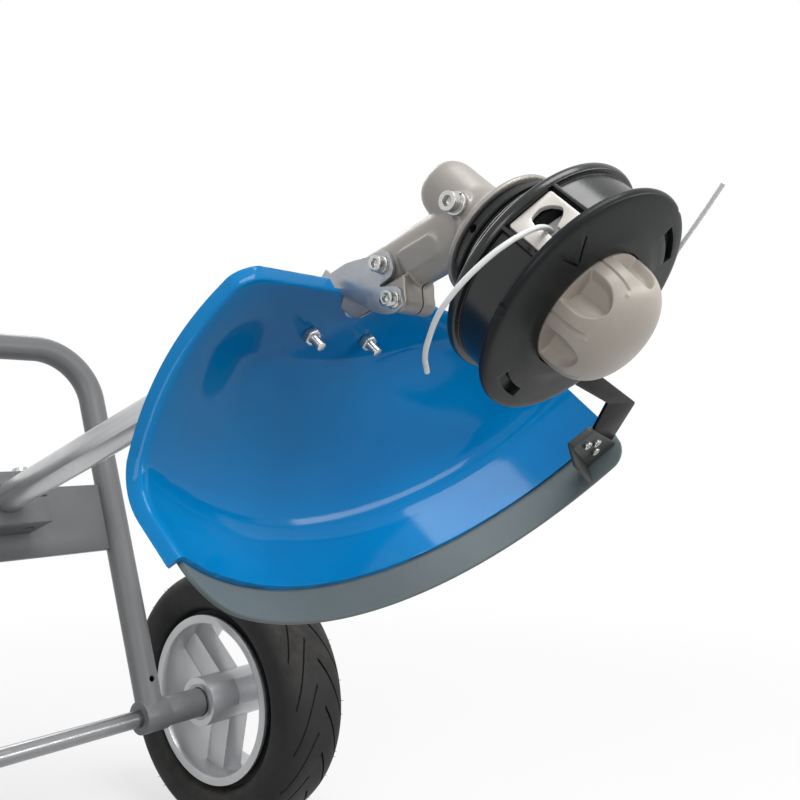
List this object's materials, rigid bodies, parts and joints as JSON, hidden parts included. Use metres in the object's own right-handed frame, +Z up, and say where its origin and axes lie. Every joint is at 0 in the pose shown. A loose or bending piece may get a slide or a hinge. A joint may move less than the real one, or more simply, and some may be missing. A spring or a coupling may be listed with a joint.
{
  "type": "wheeled brush cutter front end",
  "caption": "Front end of a wheeled brush cutter: line head with bump knob on an angled gear case, curved guard with skirt and line cutter, shaft tube and wheeled carriage.",
  "frame": {"origin": "middle of the shaft tube's rear end, where the engine clamps on", "axes": "+X forward along the machine, +Y to its left, +Z up in the tipped-back posture of the picture, with the head in the air"},
  "size_m": [0.8391, 0.558, 0.5502],
  "materials": {
    "alloy_tube": "satin drawn tube",
    "bush_polymer": "moulded",
    "ground_steel": "ground",
    "cast_alloy": "as cast, lightly painted",
    "bearing_steel": "polished",
    "seal_rubber": "moulded",
    "zinc_steel": "bright zinc",
    "head_plastic": "satin moulded",
    "eyelet_metal": "satin",
    "knob_plastic": "satin moulded",
    "line_nylon": "drawn",
    "guard_blue": "glossy moulded",
    "skirt_grey": "satin moulded",
    "bracket_sheet": "galvanised sheet",
    "cutter_black": "satin black",
    "frame_grey": "satin grey powder coat",
    "tyre_rubber": "moulded tread",
    "rim_silver": "silver paint",
    "cap_black": "moulded"
  },
  "bodies": {
    "chassis": {"shaft_tube": "alloy_tube", "shaft_bushes": "bush_polymer", "gear_case": "cast_alloy", "input_bearings": "bearing_steel", "bearing_circlip": "bearing_steel", "output_bearings": "bearing_steel", "output_seal": "seal_rubber", "grease_plug": "zinc_steel", "locating_screw": "zinc_steel", "pinch_screw": "zinc_steel", "spring_washers": "zinc_steel", "guard": "guard_blue", "guard_skirt": "skirt_grey", "skirt_screws": "zinc_steel", "guard_bracket": "bracket_sheet", "tube_saddle": "bracket_sheet", "guard_bolts": "zinc_steel", "guard_nuts": "zinc_steel", "line_cutter": "cutter_black", "cutter_screws": "zinc_steel", "frame_hoop": "frame_grey", "cross_plate": "frame_grey", "clamp_base": "frame_grey", "clamp_cap": "frame_grey", "clamp_bolts": "zinc_steel", "axle": "ground_steel", "axle_collars": "frame_grey", "axle_nuts": "zinc_steel"},
    "drive": {"drive_shaft": "ground_steel", "pinion": "ground_steel"},
    "head": {"output_shaft": "ground_steel", "crown_gear": "ground_steel", "drive_adapter": "head_plastic", "head_housing": "head_plastic", "head_cover": "head_plastic", "line_eyelets": "eyelet_metal", "line_a": "line_nylon", "line_b": "line_nylon"},
    "feed_seat": {"spring_seat": "ground_steel", "bump_spring": "ground_steel"},
    "spool": {"spool": "head_plastic", "wound_line": "line_nylon", "bump_knob": "knob_plastic", "knob_screw": "zinc_steel"},
    "wheel_left": {"tyre_left": "tyre_rubber", "rim_left": "rim_silver", "wheel_bearings_left": "bearing_steel", "valve_left": "cap_black", "hub_cap_left": "cap_black"},
    "wheel_right": {"tyre_right": "tyre_rubber", "rim_right": "rim_silver", "wheel_bearings_right": "bearing_steel", "valve_right": "cap_black", "hub_cap_right": "cap_black"}
  },
  "joints": [
    {"name": "head_spin", "type": "hinge", "parent": "chassis", "child": "head", "pos_m": [0.71587, 0, 0.2507], "axis": [-0.7581, 0, 0.6521], "continuous": true},
    {"name": "drive_spin", "type": "hinge", "parent": "chassis", "child": "drive", "pos_m": [0.71587, 0, 0.2507], "axis": [-0.9438, 0, -0.3305], "continuous": true},
    {"name": "line_feed", "type": "hinge", "parent": "head", "child": "feed_seat", "pos_m": [0.71587, 0, 0.2507], "axis": [-0.7581, 0, 0.6521], "continuous": true},
    {"name": "knob_bump", "type": "slide", "parent": "feed_seat", "child": "spool", "axis": [-0.7581, 0, 0.6521], "range_m": [0, 0.006], "stiffness_N_per_m": 800, "springref_m": -0.004, "deforming": ["bump_spring"]},
    {"name": "wheel_left_roll", "type": "hinge", "parent": "chassis", "child": "wheel_left", "pos_m": [0.24684, 0.231, -0.13606], "axis": [0, 1, 0], "continuous": true},
    {"name": "wheel_right_roll", "type": "hinge", "parent": "chassis", "child": "wheel_right", "pos_m": [0.24684, -0.231, -0.13606], "axis": [0, 1, 0], "continuous": true}
  ],
  "couplings": [
    {"joint": "drive_spin", "follows": "head_spin", "ratio": -1.3333}
  ]
}
